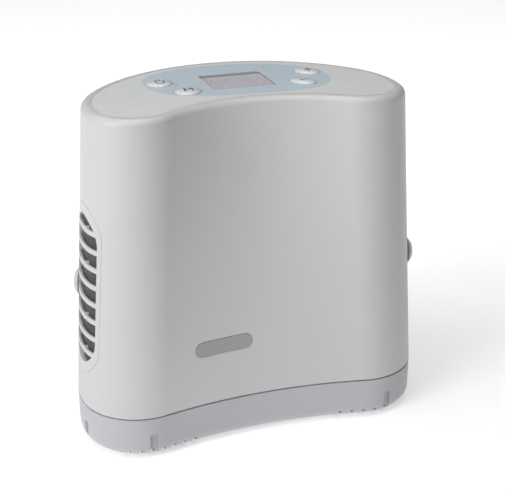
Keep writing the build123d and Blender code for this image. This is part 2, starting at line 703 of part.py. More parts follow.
with BuildPart() as deck_screws:
    with BuildSketch(Plane.XY.offset(DECK_Z[0] + 0.2)):
        with Locations(*HOUSING_BOSSES):
            Circle(3.0)
    extrude(amount=1.8)
    with BuildSketch(Plane.XY.offset(DECK_Z[0] + 2.0)):
        with Locations(*HOUSING_BOSSES):
            Circle(SCREW_R)
    extrude(amount=12)
finish("deck_screws", deck_screws.part)

with BuildPart() as deck_contacts:
    with BuildSketch(Plane.XY.offset(DECK_Z[1])):
        with Locations((0, CONTACT_Y)):
            Rectangle(50, 11)
        with Locations(*[(8.0 * (i - 2), CONTACT_Y) for i in range(5)]):
            Rectangle(4.8, 2.0, mode=Mode.SUBTRACT)
    extrude(amount=6)
finish("deck_contacts", deck_contacts.part)

# ---------------------------------------------------------------- compressor
CASE_X, CASE_Y, CASE_Z = 28.0, (-8.0, 28.0), (54.0, 118.0)
BARREL_R, BARREL_X, HEAD_T = 19.0, 48.0, 12.0
BEARING_R, BEARING_W = 8.0, 4.0
PISTON_X, PISTON_T = (32.0, 42.0), 10.0
MOTOR_R, MOTOR_Y = 24.0, (28.0, 58.0)
CRANK_AXIS_PLANE = Plane(origin=(0, 0, CRANK_Z), x_dir=(1, 0, 0), z_dir=(0, 1, 0))
MOUNTS_XY = [(x, y) for x in (-21.0, 21.0) for y in (-3.0, 23.0)]


def side_plane(side, x):
    """Plane across the cylinders' axis, facing outwards on the given side."""
    return Plane(origin=(side * x, CRANK_Y, CRANK_Z), x_dir=(0, side, 0), z_dir=(side, 0, 0))


def along_crank(y):
    """Plane across the crankshaft at the given y, facing +Y."""
    return CRANK_AXIS_PLANE.offset(y)


with BuildPart() as compressor_mounts:
    for x, y in MOUNTS_XY:
        with BuildSketch(Plane.XY.offset(DECK_Z[1])):
            with Locations((x, y)):
                Circle(6.0)
        extrude(amount=CASE_Z[0] - 4 - DECK_Z[1])
finish("compressor_mounts", compressor_mounts.part)

with BuildPart() as compressor_crankcase:
    case_mid_y = sum(CASE_Y) / 2
    with BuildSketch(Plane.XY.offset(CASE_Z[0] - 4)):
        with Locations((0, case_mid_y)):
            RectangleRounded(2 * CASE_X + 6, CASE_Y[1] - CASE_Y[0] + 4, 5)
    extrude(amount=4)
    with BuildSketch(Plane.XY.offset(CASE_Z[0])):
        with Locations((0, case_mid_y)):
            RectangleRounded(2 * CASE_X, CASE_Y[1] - CASE_Y[0], 3)
    extrude(amount=CASE_Z[1] - CASE_Z[0])
    for side in (-1, 1):
        with BuildSketch(side_plane(side, CASE_X - 1)):
            Circle(BARREL_R)
        extrude(amount=BARREL_X - CASE_X + 1)
    with BuildSketch(Plane.XY.offset(CASE_Z[0] + 5)):
        with Locations((0, case_mid_y)):
            Rectangle(2 * CASE_X - 8, CASE_Y[1] - CASE_Y[0] - 8)
    extrude(amount=CASE_Z[1] - CASE_Z[0] - 10, mode=Mode.SUBTRACT)
    for side in (-1, 1):
        with BuildSketch(side_plane(side, 10)):
            Circle(BORE_R)
        extrude(amount=BARREL_X - 10, mode=Mode.SUBTRACT)
    with BuildSketch(along_crank(CASE_Y[0])):
        Circle(BEARING_R + 0.02)
    extrude(amount=CASE_Y[1] - CASE_Y[0], mode=Mode.SUBTRACT)
finish("compressor_crankcase", compressor_crankcase.part)

with BuildPart() as main_bearings:
    for y in (CASE_Y[0], CASE_Y[1] - BEARING_W):
        with BuildSketch(along_crank(y)):
            Circle(BEARING_R)
            Circle(SHAFT_R + RUN_GAP, mode=Mode.SUBTRACT)
        extrude(amount=BEARING_W)
finish("main_bearings", main_bearings.part)

with BuildPart() as crankshaft:
    with BuildSketch(along_crank(CASE_Y[0] + 0.5)):
        Circle(SHAFT_R)
    extrude(amount=MOTOR_Y[1] - 4 - CASE_Y[0])
    with BuildSketch(along_crank(CRANK_Y - 4.5)):
        with Locations((CRANK_THROW, 0)):
            Circle(CRANKPIN_R)
    extrude(amount=9)
    # counterweights, half discs opposite the crankpin
    for y in (CRANK_Y - 11.5, CRANK_Y + 5.5):
        with BuildSketch(along_crank(y)):
            Circle(12)
            with Locations((8, 0)):
                Rectangle(12, 26, mode=Mode.SUBTRACT)
        extrude(amount=6)
finish("crankshaft", crankshaft.part)

with BuildPart() as motor_can:
    with BuildSketch(along_crank(MOTOR_Y[0])):
        Circle(MOTOR_R)
    extrude(amount=MOTOR_Y[1] - MOTOR_Y[0])
    fillet(motor_can.edges().filter_by(GeomType.CIRCLE).sort_by(Axis.Y)[-1], 2.5)
    with BuildSketch(along_crank(MOTOR_Y[0] + 2)):
        Circle(MOTOR_R - 3)
    extrude(amount=MOTOR_Y[1] - MOTOR_Y[0] - 4, mode=Mode.SUBTRACT)
    with BuildSketch(along_crank(MOTOR_Y[0] - 1)):
        Circle(SHAFT_R + 0.5)
    extrude(amount=5, mode=Mode.SUBTRACT)
finish("motor_can", motor_can.part)

with BuildPart() as motor_stator:
    with BuildSketch(along_crank(MOTOR_Y[0] + 4)):
        Circle(MOTOR_R - 3)
        Circle(14.8, mode=Mode.SUBTRACT)
        with PolarLocations(16.5, 6):
            SlotOverall(5, 2, mode=Mode.SUBTRACT)
    extrude(amount=20)
finish("motor_stator", motor_stator.part)

with BuildPart() as motor_rotor:
    with BuildSketch(along_crank(MOTOR_Y[0] + 4)):
        Circle(14.2)
        Circle(SHAFT_R, mode=Mode.SUBTRACT)
    extrude(amount=20)
finish("motor_rotor", motor_rotor.part)

for side, piston_name in ((-1, "piston_left"), (1, "piston_right")):
    with BuildPart() as piston:
        with BuildSketch(side_plane(side, PISTON_X[0])):
            Circle(PISTON_R)
        extrude(amount=PISTON_T)
        with BuildSketch(side_plane(side, PISTON_X[0])):
            Circle(PISTON_R - 3)
            Circle(6, mode=Mode.SUBTRACT)
        extrude(amount=PISTON_T - 4, mode=Mode.SUBTRACT)
    finish(piston_name, piston.part)

with BuildPart() as piston_yoke:
    with BuildSketch(along_crank(CRANK_Y - 4)):
        Rectangle(38, 42)
        Rectangle(2 * (CRANKPIN_R + 2 * CRANK_THROW + 0.4), 32, mode=Mode.SUBTRACT)
        with Locations((-25.5, 0), (25.5, 0)):
            Rectangle(13, 8)
    extrude(amount=8)
finish("piston_yoke", piston_yoke.part)

for side, head_name in ((-1, "cylinder_head_left"), (1, "cylinder_head_right")):
    with BuildPart() as cylinder_head:
        with BuildSketch(side_plane(side, BARREL_X)):
            Circle(BARREL_R)
        extrude(amount=HEAD_T)
        # cooling fins
        for fin in range(3):
            with BuildSketch(side_plane(side, BARREL_X + 2.5 + 3.2 * fin)):
                Circle(BARREL_R + 1)
                Circle(BARREL_R - 4, mode=Mode.SUBTRACT)
            extrude(amount=1.6, mode=Mode.SUBTRACT)
        with BuildSketch(side_plane(side, BARREL_X)):
            Circle(BORE_R - 2)
        extrude(amount=4, mode=Mode.SUBTRACT)
    finish(head_name, cylinder_head.part)

# ---------------------------------------------------------------- oxygen separation
for side, bed_name in ((-1, "sieve_bed_left"), (1, "sieve_bed_right")):
    with BuildPart() as sieve_bed:
        with BuildSketch(Plane.XY.offset(BED_Z[0] - 4)):
            with Locations((side * BED_X, BED_Y)):
                Circle(BED_R)
        extrude(amount=BED_Z[1] - BED_Z[0] + 4)
        bed_rims = sieve_bed.edges().filter_by(GeomType.CIRCLE)
        fillet(bed_rims, 2.0)
        # rolled beads near both ends
        for z in (BED_Z[0] + 12, BED_Z[1] - 14):
            with BuildSketch(Plane.XY.offset(z)):
                with Locations((side * BED_X, BED_Y)):
                    Circle(BED_R + 1)
                    Circle(BED_R - 1.2, mode=Mode.SUBTRACT)
            extrude(amount=3, mode=Mode.SUBTRACT)
        with BuildSketch(Plane.XY.offset(BED_Z[1])):
            with Locations((side * BED_X, BED_Y)):
                Circle(4.0)
        extrude(amount=6)
    finish(bed_name, sieve_bed.part)

MANIFOLD_X, MANIFOLD_Y, MANIFOLD_Z = 44.0, (-34.0, -10.0), (146.0, 172.0)
with BuildPart() as valve_manifold:
    with BuildSketch(Plane.XY.offset(MANIFOLD_Z[0])):
        with Locations((0, sum(MANIFOLD_Y) / 2)):
            Rectangle(2 * MANIFOLD_X, MANIFOLD_Y[1] - MANIFOLD_Y[0])
    extrude(amount=MANIFOLD_Z[1] - MANIFOLD_Z[0])
    fillet(valve_manifold.edges().filter_by(Axis.Z), 2.0)
finish("valve_manifold", valve_manifold.part)

VALVES_XY = [(x, -22.0) for x in (-36.0, -12.0, 12.0, 36.0)]
VALVE_H = 18.0
with BuildPart() as solenoid_valves:
    with BuildSketch(Plane.XY.offset(MANIFOLD_Z[1])):
        with Locations(*VALVES_XY):
            RectangleRounded(14, 16, 1.5)
    extrude(amount=VALVE_H)
    with BuildSketch(Plane.XY.offset(MANIFOLD_Z[1] + VALVE_H)):
        with Locations(*VALVES_XY):
            Circle(4.5)
    extrude(amount=8)
finish("solenoid_valves", solenoid_valves.part)

TANK_Y, TANK_Z, TANK_R, TANK_X = 20.0, 168.0, 18.0, 46.0
with BuildPart() as oxygen_tank:
    with BuildSketch(Plane.YZ.offset(-TANK_X)):
        with Locations((TANK_Y, TANK_Z)):
            Circle(TANK_R)
    extrude(amount=2 * TANK_X)
    fillet(oxygen_tank.edges().filter_by(GeomType.CIRCLE), 6.0)
    with BuildSketch(Plane.YZ.offset(TANK_X - 1)):
        with Locations((TANK_Y, TANK_Z)):
            Circle(3.5)
    extrude(amount=7)
finish("oxygen_tank", oxygen_tank.part)

with BuildPart() as exhaust_muffler:
    with BuildSketch(Plane.XY.offset(56)):
        with Locations((77.0, 10.0)):
            Circle(11.0)
    extrude(amount=54)
    fillet(exhaust_muffler.edges(), 3.0)
finish("exhaust_muffler", exhaust_muffler.part)

with BuildPart() as oxygen_sensor:
    with BuildSketch(Plane.XY.offset(126)):
        with Locations((76.0, 10.0)):
            RectangleRounded(16, 18, 2)
    extrude(amount=24)
    fillet(oxygen_sensor.edges().group_by(Axis.Z)[-1], 1.5)
finish("oxygen_sensor", oxygen_sensor.part)

COIL_R = 3.0
finish(
    "heat_exchanger_coil",
    tube_run(
        [(-66, 10, 60), (-66, 10, 114), (-75, 10, 114), (-75, 10, 60), (-84, 10, 60), (-84, 10, 114)],
        bend_r=4.4,
        tube_r=COIL_R,
    ),
)

# ---------------------------------------------------------------- cooling fan
FAN_Z, FAN_T, FAN_SIZE = 124.0, 15.0, 60.0
with BuildPart() as fan_frame:
    with BuildSketch(Plane.XY.offset(FAN_Z)):
        with Locations((0, CRANK_Y)):
            RectangleRounded(FAN_SIZE, FAN_SIZE, 4)
            Circle(27.5, mode=Mode.SUBTRACT)
            with GridLocations(50, 50, 2, 2):
                Circle(2.1, mode=Mode.SUBTRACT)
    extrude(amount=FAN_T)
    # hub carried on four struts
    with BuildSketch(Plane.XY.offset(FAN_Z)):
        with Locations((0, CRANK_Y)):
            Circle(12)
            Rectangle(56, 3)
            Rectangle(3, 56)
    extrude(amount=2)
    with BuildSketch(Plane.XY.offset(FAN_Z + 2)):
        with Locations((0, CRANK_Y)):
            Circle(2.0)
    extrude(amount=9)
finish("fan_frame", fan_frame.part)

with BuildPart() as fan_impeller:
    with BuildSketch(Plane.XY.offset(FAN_Z + 2.6)):
        with Locations((0, CRANK_Y)):
            Circle(12)
    extrude(amount=11)
    with BuildSketch(Plane.XY.offset(FAN_Z + 3.6)):
        with Locations((0, CRANK_Y)):
            with PolarLocations(18.7, 7):
                Rectangle(15, 1.6, rotation=12)
    extrude(amount=9)
    with BuildSketch(Plane.XY.offset(FAN_Z + 2)):
        with Locations((0, CRANK_Y)):
            Circle(2.0 + RUN_GAP)
    extrude(amount=9.3, mode=Mode.SUBTRACT)
finish("fan_impeller", fan_impeller.part)

# ---------------------------------------------------------------- electronics
with BuildPart() as main_board:
    with BuildSketch(Plane.XZ.offset(-46.4)):
        with Locations((0, 162)):
            Rectangle(96, 80)
    extrude(amount=-1.6)
    with BuildSketch(Plane.XZ.offset(-46.4)):
        with Locations((-30, 190), (0, 186), (28, 188)):
            Rectangle(16, 12)
        with Locations((-34, 136), (34, 136)):
            Rectangle(14, 18)
    extrude(amount=5)
finish("main_board", main_board.part)

with BuildPart() as display_board:
    with BuildSketch(Plane.XY.offset(DISPLAY_BOARD_Z)):
        with Locations((2, 5)):
            RectangleRounded(132, 58, 6)
    extrude(amount=1.6)
    with BuildSketch(Plane.XY.offset(DISPLAY_BOARD_Z + 1.6)):
        with Locations(LED_AT):
            Circle(1.5)
    extrude(amount=2.4)
finish("display_board", display_board.part)

with BuildPart() as lcd_module:
    with BuildSketch(Plane.XY.offset(DISPLAY_BOARD_Z + 1.6)):
        with Locations(WINDOW_AT):
            Rectangle(WINDOW_SIZE[0] + 3, WINDOW_SIZE[1] + 3)
    extrude(amount=ROOF_Z - 0.1 - DISPLAY_BOARD_Z - 1.6)
    # glass that rises into the window, to just below the lens
    with BuildSketch(Plane.XY.offset(ROOF_Z - 0.1)):
        with Locations(WINDOW_AT):
            RectangleRounded(WINDOW_SIZE[0] - 0.6, WINDOW_SIZE[1] - 0.6, WINDOW_R)
    extrude(amount=ROOF - PANEL_DEPTH - LENS_T + 0.05)
finish("lcd_module", lcd_module.part)

with BuildPart() as key_switches:
    for (x, y), _ in KEYS.values():
        with Locations((x, y, DISPLAY_BOARD_Z + 1.6)):
            Box(6, 6, 2.6, align=(Align.CENTER, Align.CENTER, Align.MIN))
            Cylinder(1.7, SWITCH_TOP_Z - DISPLAY_BOARD_Z - 1.6, align=(Align.CENTER, Align.CENTER, Align.MIN))
finish("key_switches", key_switches.part)

# ---------------------------------------------------------------- inner tubing
TUBE_R, TUBE_BEND = 2.5, 4.0
port_z = BED_Z[1] + 6
outlet_end = OUTLET_PLANE.origin - OUTLET_PLANE.z_dir * (SPOT_DEPTH + 11.8)
outlet_back = OUTLET_PLANE.origin - OUTLET_PLANE.z_dir * (SPOT_DEPTH + 22)
with BuildPart() as tubing:
    for side in (-1, 1):
        add(
            tube_run(
                [
                    (side * BED_X, BED_Y, port_z),
                    (side * BED_X, BED_Y, port_z + 9),
                    (side * 51, -22, port_z + 9),
                    (side * 51, -22, 159),
                    (side * MANIFOLD_X, -22, 159),
                ],
                TUBE_BEND,
                TUBE_R,
            )
        )
    add(
        tube_run(
            [
                (TANK_X + 6, TANK_Y, TANK_Z),
                (TANK_X + 14, TANK_Y, TANK_Z),
                (outlet_back.X - 2, outlet_back.Y - 2, 190),
                (outlet_end.X, outlet_end.Y, 190),
            ],
            TUBE_BEND,
            TUBE_R,
        )
    )
finish("tubing", tubing.part)
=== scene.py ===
"""Looks of the portable oxygen concentrator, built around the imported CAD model. Units are metres."""

import json
from math import cos, radians, sin

import bpy
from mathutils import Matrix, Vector
from mathutils.bvhtree import BVHTree


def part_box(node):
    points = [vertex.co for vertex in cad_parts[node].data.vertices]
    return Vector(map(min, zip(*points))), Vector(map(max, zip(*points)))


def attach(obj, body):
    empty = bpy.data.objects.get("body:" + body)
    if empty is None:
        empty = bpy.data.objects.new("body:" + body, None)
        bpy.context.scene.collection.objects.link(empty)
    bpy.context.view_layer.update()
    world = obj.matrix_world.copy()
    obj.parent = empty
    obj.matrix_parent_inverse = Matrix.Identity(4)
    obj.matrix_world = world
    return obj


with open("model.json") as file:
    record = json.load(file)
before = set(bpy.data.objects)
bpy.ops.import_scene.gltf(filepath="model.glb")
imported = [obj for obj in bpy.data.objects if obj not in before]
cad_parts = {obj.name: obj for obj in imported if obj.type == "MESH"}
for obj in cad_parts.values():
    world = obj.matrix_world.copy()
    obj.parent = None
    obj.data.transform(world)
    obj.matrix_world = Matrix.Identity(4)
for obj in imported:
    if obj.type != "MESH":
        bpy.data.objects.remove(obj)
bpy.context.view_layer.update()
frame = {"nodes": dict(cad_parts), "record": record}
nodes = frame["nodes"]
MM = 0.001

# printed field on the control panel, in mm
FIELD_CENTRE_X = 4.8
FIELD_HALF_LENGTH = 62.4
FIELD_BACK_DEPTH = 36.6
FIELD_FRONT_DEPTH = 41.0
FIELD_WAIST_Y = 15.0     # where the front and back halves of the outline meet, at the field's centre
FIELD_WAIST_FALL = 5.0   # the waist is this much lower at the right end, and higher at the left end

# key symbols, in mm
INK_STEP = 0.25
INK_LIFT = 0.02
INK_FORWARD = 1.8        # the symbols sit a little in front of the crown of each key
PROBE_HEIGHT = 0.01      # metres above a key that its surface is looked for from
STROKE_W = 0.95
RING_STROKE_W = 0.9
SIGN_HALF = 2.9          # half the length of a plus or minus sign's stroke
LETTER_X, LETTER_Y = 2.6, 2.8

# studio
FLOOR_REACH = 40.0
CENTRE = (0, 0, 0.11)
CAMERA_PLACE = (-230.56, -704.37, 431.19)    # mm
CAMERA_TARGET = (1.87, -30.3, 125.62)        # mm
REARWARD = (0.32, 0.95, 0.0)
NEAR_GLOW, REAR_GLOW = 0.42, 0.80
GLOW_FROM, GLOW_TO = 0.08, 0.45


# ------------------------------------------------------------------ node helpers
def new_material(name):
    """A node material that holds only a Principled shader: the material, its tree and the shader."""
    material = bpy.data.materials.new(name)
    material.use_nodes = True
    tree = material.node_tree
    tree.nodes.clear()
    output = tree.nodes.new("ShaderNodeOutputMaterial")
    shader = tree.nodes.new("ShaderNodeBsdfPrincipled")
    tree.links.new(shader.outputs["BSDF"], output.inputs["Surface"])
    return material, tree, shader


def link(tree, value, socket):
    """Puts a number, a colour or another node's output into a socket."""
    if hasattr(value, "is_output"):
        tree.links.new(value, socket)
    elif isinstance(value, (tuple, list)):
        socket.default_value = tuple(value) + (1.0,) * (len(socket.default_value) - len(value))
    else:
        socket.default_value = value


def position(tree):
    return tree.nodes.new("ShaderNodeTexCoord").outputs["Object"]


def math_node(tree, operation, *values):
    node = tree.nodes.new("ShaderNodeMath")
    node.operation = operation
    for value, socket in zip(values, node.inputs):
        link(tree, value, socket)
    return node.outputs[0]


def noise(tree, scale, detail=3.0, vector=None):
    node = tree.nodes.new("ShaderNodeTexNoise")
    node.inputs["Scale"].default_value = scale
    node.inputs["Detail"].default_value = detail
    link(tree, vector or position(tree), node.inputs["Vector"])
    return node.outputs["Fac"]


def cells(tree, scale):
    node = tree.nodes.new("ShaderNodeTexVoronoi")
    node.inputs["Scale"].default_value = scale
    link(tree, position(tree), node.inputs["Vector"])
    return node.outputs["Distance"]


def stripes(tree, direction, scale):
    node = tree.nodes.new("ShaderNodeTexWave")
    node.bands_direction = direction
    node.inputs["Scale"].default_value = scale
    link(tree, position(tree), node.inputs["Vector"])
    return node.outputs["Fac"]


def remap(tree, value, low, high, to_low, to_high):
    node = tree.nodes.new("ShaderNodeMapRange")
    for socket, number in zip(list(node.inputs)[:5], (value, low, high, to_low, to_high)):
        link(tree, number, socket)
    return node.outputs[0]


def mix_colour(tree, factor, a, b):
    node = tree.nodes.new("ShaderNodeMix")
    node.data_type = "RGBA"
    link(tree, factor, node.inputs["Factor"])
    link(tree, a, node.inputs[6])
    link(tree, b, node.inputs[7])
    return node.outputs[2]


def shade(colour, factor):
    return tuple(min(1.0, channel * factor) for channel in colour)


def tones(tree, pattern, colour, dark, light):
    """The colour, darkened and lightened by the two factors where the pattern is low and high."""
    return mix_colour(tree, pattern, shade(colour, dark), shade(colour, light))


def paint(tree, shader, colour):
    link(tree, colour, shader.inputs["Base Color"])


def gloss(tree, shader, pattern, low, high, smooth, rough):
    """Roughness that follows a pattern between low and high."""
    link(tree, remap(tree, pattern, low, high, smooth, rough), shader.inputs["Roughness"])


def bump(tree, shader, height, depth):
    """Relief of the given depth in mm."""
    node = tree.nodes.new("ShaderNodeBump")
    node.inputs["Strength"].default_value = 1.0
    node.inputs["Distance"].default_value = depth * MM
    link(tree, height, node.inputs["Height"])
    tree.links.new(node.outputs["Normal"], shader.inputs["Normal"])


# ------------------------------------------------------------------ materials
def moulded_plastic(name, colour, roughness=0.42, grain=1500.0, depth=0.03, tone=0.03, coat=0.0):
    """Injection-moulded plastic: a fine spark-eroded grain, with slight changes of tone and gloss."""
    material, tree, shader = new_material(name)
    paint(tree, shader, tones(tree, noise(tree, 14.0, 2.0), colour, 1 - tone, 1 + tone))
    gloss(tree, shader, noise(tree, 60.0, 4.0), 0.3, 0.7, roughness - 0.05, roughness + 0.06)
    shader.inputs["Coat Weight"].default_value = coat
    shader.inputs["Coat Roughness"].default_value = 0.15
    bump(tree, shader, noise(tree, grain, 2.0), depth)
    return material


def bare_metal(name, colour, roughness=0.3, brushed=True):
    """Machined or drawn metal. Brushed metal has fine lines along one direction."""
    material, tree, shader = new_material(name)
    mapping = tree.nodes.new("ShaderNodeMapping")
    link(tree, position(tree), mapping.inputs["Vector"])
    mapping.inputs["Scale"].default_value = (1.0, 1.0, 24.0) if brushed else (1.0, 1.0, 1.0)
    lines = noise(tree, 260.0, 5.0, mapping.outputs["Vector"])
    paint(tree, shader, tones(tree, lines, colour, 0.86, 1.08))
    gloss(tree, shader, lines, 0.25, 0.75, roughness - 0.08, roughness + 0.12)
    shader.inputs["Metallic"].default_value = 1.0
    bump(tree, shader, lines, 0.02)
    return material


def cast_alloy(name, colour):
    """Sand-blasted casting."""
    material, tree, shader = new_material(name)
    pits = noise(tree, 700.0, 6.0)
    paint(tree, shader, tones(tree, noise(tree, 30.0), colour, 0.9, 1.06))
    gloss(tree, shader, pits, 0.3, 0.7, 0.45, 0.62)
    shader.inputs["Metallic"].default_value = 0.9
    bump(tree, shader, pits, 0.12)
    return material


def rubber(name, colour):
    material, tree, shader = new_material(name)
    speckle = noise(tree, 900.0, 4.0)
    paint(tree, shader, tones(tree, speckle, colour, 0.85, 1.15))
    gloss(tree, shader, speckle, 0.2, 0.8, 0.62, 0.85)
    bump(tree, shader, speckle, 0.06)
    return material


def open_foam(name, colour):
    """Reticulated filter foam: small open cells, with painted shade in the pores and lighter struts."""
    material, tree, shader = new_material(name)
    pores = remap(tree, cells(tree, 950.0), 0.1, 0.6, 0.0, 1.0)
    # painted shade: the colour is darkened in the pores, where shade falls inside the open cells, and
    # lightened on the struts
    paint(tree, shader, tones(tree, pores, colour, 0.45, 1.35))
    shader.inputs["Roughness"].default_value = 0.95
    shader.inputs["Sheen Weight"].default_value = 0.25
    shader.inputs["Sheen Roughness"].default_value = 0.5
    bump(tree, shader, pores, 0.7)
    return material


def woven_mesh(name, colour):
    """Wires crossing at right angles, with painted shade in the gaps between them."""
    material, tree, shader = new_material(name)
    weave = math_node(tree, "MAXIMUM", stripes(tree, "X", 280.0), stripes(tree, "Z", 280.0))
    # painted shade: the colour is darkened in the gaps between the wires and lightened on the wires
    paint(tree, shader, tones(tree, weave, colour, 0.3, 1.5))
    shader.inputs["Roughness"].default_value = 0.6
    bump(tree, shader, weave, 0.3)
    return material


def clear_plastic(name):
    """Thin clear lens that lets the display show through."""
    material, tree, shader = new_material(name)
    scuff = noise(tree, 90.0, 5.0)
    gloss(tree, shader, scuff, 0.4, 0.9, 0.08, 0.2)
    paint(tree, shader, mix_colour(tree, scuff, (0.80, 0.79, 0.82), (0.86, 0.85, 0.88)))
    shader.inputs["Alpha"].default_value = 0.3
    shader.inputs["IOR"].default_value = 1.49
    return material


def unlit_display(name):
    """Grey-mauve glass of a display that is switched off."""
    material, tree, shader = new_material(name)
    paint(tree, shader, mix_colour(tree, noise(tree, 22.0, 2.0), (0.62, 0.60, 0.64), (0.66, 0.64, 0.68)))
    gloss(tree, shader, noise(tree, 400.0), 0.3, 0.7, 0.22, 0.3)
    bump(tree, shader, noise(tree, 2600.0, 1.0), 0.01)
    return material


def half_outline(tree, along, across, depth, power):
    """Superellipse field: 1 on the outline, less inside it. across counts only where it is positive."""
    outward = math_node(tree, "DIVIDE", math_node(tree, "MAXIMUM", across, 0.0), depth * MM)
    return math_node(
        tree, "ADD", math_node(tree, "POWER", along, power), math_node(tree, "POWER", outward, power)
    )


def printed_overlay(name, pale, field):
    """Matt film on the control panel: pale, with a field whose outline is two half superellipses."""
    material, tree, shader = new_material(name)
    place = tree.nodes.new("ShaderNodeSeparateXYZ")
    link(tree, position(tree), place.inputs["Vector"])
    from_centre = math_node(tree, "SUBTRACT", place.outputs["X"], FIELD_CENTRE_X * MM)
    along = math_node(tree, "DIVIDE", from_centre, FIELD_HALF_LENGTH * MM)
    waist = math_node(tree, "MULTIPLY_ADD", along, -FIELD_WAIST_FALL * MM, FIELD_WAIST_Y * MM)
    rise = math_node(tree, "SUBTRACT", place.outputs["Y"], waist)
    fall = math_node(tree, "MULTIPLY", rise, -1.0)
    along = math_node(tree, "ABSOLUTE", along)
    reach = tree.nodes.new("ShaderNodeMix")
    link(tree, math_node(tree, "LESS_THAN", rise, 0.0), reach.inputs["Factor"])
    link(tree, half_outline(tree, along, rise, FIELD_BACK_DEPTH, 2.0), reach.inputs[2])
    link(tree, half_outline(tree, along, fall, FIELD_FRONT_DEPTH, 3.0), reach.inputs[3])
    inside = remap(tree, reach.outputs[0], 0.99, 1.01, 1.0, 0.0)
    drift = noise(tree, 24.0, 2.0)
    film = tones(tree, drift, pale, 0.98, 1.02)
    printed = tones(tree, drift, field, 0.97, 1.03)
    paint(tree, shader, mix_colour(tree, inside, film, printed))
    gloss(tree, shader, noise(tree, 120.0, 4.0), 0.3, 0.7, 0.34, 0.44)
    bump(tree, shader, noise(tree, 2400.0, 2.0), 0.012)
    return material


def circuit_board(name):
    """Green board with paler tracks."""
    material, tree, shader = new_material(name)
    tracks = tree.nodes.new("ShaderNodeTexBrick")
    link(tree, position(tree), tracks.inputs["Vector"])
    tracks.inputs["Scale"].default_value = 90.0
    tracks.inputs["Mortar Size"].default_value = 0.03
    tracks.inputs["Color1"].default_value = (0.02, 0.13, 0.06, 1.0)
    tracks.inputs["Color2"].default_value = (0.03, 0.17, 0.08, 1.0)
    tracks.inputs["Mortar"].default_value = (0.10, 0.36, 0.16, 1.0)
    paint(tree, shader, tracks.outputs["Color"])
    gloss(tree, shader, noise(tree, 200.0), 0.3, 0.7, 0.25, 0.38)
    bump(tree, shader, tracks.outputs["Fac"], 0.05)
    return material


def stacked_sheet(name, colour):
    """Thin steel sheets seen edge on."""
    material, tree, shader = new_material(name)
    edges = stripes(tree, "Y", 320.0)
    paint(tree, shader, tones(tree, edges, colour, 0.6, 1.1))
    gloss(tree, shader, noise(tree, 300.0), 0.3, 0.7, 0.35, 0.5)
    shader.inputs["Metallic"].default_value = 0.9
    bump(tree, shader, edges, 0.08)
    return material


def printing_ink(name, colour):
    material, tree, shader = new_material(name)
    speckle = noise(tree, 1800.0, 3.0)
    paint(tree, shader, tones(tree, speckle, colour, 0.9, 1.1))
    gloss(tree, shader, speckle, 0.3, 0.7, 0.38, 0.5)
    return material


FINISHES = {
    "housing_white": moulded_plastic("housing_white", (0.62, 0.617, 0.627), 0.40, depth=0.02),
    "battery_grey": moulded_plastic("battery_grey", (0.515, 0.51, 0.54), 0.42, depth=0.02),
    "key_white": moulded_plastic("key_white", (0.74, 0.74, 0.745), 0.26, 2200.0, 0.006, 0.015, 0.35),
    "latch_grey": moulded_plastic("latch_grey", (0.30, 0.30, 0.32), 0.45),
    "stud_grey": moulded_plastic("stud_grey", (0.60, 0.597, 0.60), 0.40),
    "badge_grey": moulded_plastic("badge_grey", (0.37, 0.37, 0.38), 0.36, 2400.0, 0.01),
    "black_plastic": moulded_plastic("black_plastic", (0.022, 0.022, 0.024), 0.42),
    "inner_grey": moulded_plastic("inner_grey", (0.11, 0.115, 0.125), 0.5),
    "sensor_blue": moulded_plastic("sensor_blue", (0.03, 0.09, 0.24), 0.4),
    "panel_label": printed_overlay("panel_label", pale=(0.74, 0.76, 0.74), field=(0.56, 0.66, 0.72)),
    "clear_lens": clear_plastic("clear_lens"),
    "display_glass": unlit_display("display_glass"),
    "filter_foam": open_foam("filter_foam", (0.06, 0.06, 0.063)),
    "filter_mesh": woven_mesh("filter_mesh", (0.05, 0.05, 0.055)),
    "rubber_black": rubber("rubber_black", (0.025, 0.025, 0.026)),
    "rubber_grey": rubber("rubber_grey", (0.10, 0.10, 0.105)),
    "silicone": rubber("silicone", (0.62, 0.64, 0.62)),
    "steel": bare_metal("steel", (0.56, 0.56, 0.58), 0.32),
    "outlet_metal": bare_metal("outlet_metal", (0.72, 0.72, 0.74), 0.18, brushed=False),
    "bed_aluminium": bare_metal("bed_aluminium", (0.70, 0.71, 0.73), 0.34),
    "piston_alloy": bare_metal("piston_alloy", (0.62, 0.62, 0.64), 0.28),
    "copper_tube": bare_metal("copper_tube", (0.72, 0.36, 0.22), 0.26, brushed=False),
    "contact_metal": bare_metal("contact_metal", (0.80, 0.62, 0.28), 0.24, brushed=False),
    "cast_alloy": cast_alloy("cast_alloy", (0.52, 0.53, 0.54)),
    "motor_black": moulded_plastic("motor_black", (0.02, 0.02, 0.024), 0.32, 700.0, 0.04, coat=0.3),
    "laminations": stacked_sheet("laminations", (0.34, 0.34, 0.35)),
    "board_green": circuit_board("board_green"),
    "cell_wrap": moulded_plastic("cell_wrap", (0.03, 0.14, 0.32), 0.24, 900.0, 0.02, coat=0.4),
}
INK = printing_ink("key_ink", (0.055, 0.06, 0.07))

for row in frame["record"]["subparts"]:
    mesh = nodes[row["node"]].data
    mesh.materials.clear()
    mesh.materials.append(FINISHES[row["material_slot"]])


# ------------------------------------------------------------------ printed symbols on the keys
def surface_of(node):
    mesh = nodes[node].data
    return BVHTree.FromPolygons([v.co for v in mesh.vertices], [p.vertices for p in mesh.polygons])


def stroke_points(stroke):
    """The stroke's corners, with points added so that none is more than about a step from the next."""
    points = []
    for start, end in zip(stroke, stroke[1:]):
        a, b = Vector(start), Vector(end)
        count = max(1, int((b - a).length / INK_STEP))
        points += [a.lerp(b, i / count) for i in range(count)]
    return points + [Vector(stroke[-1])]


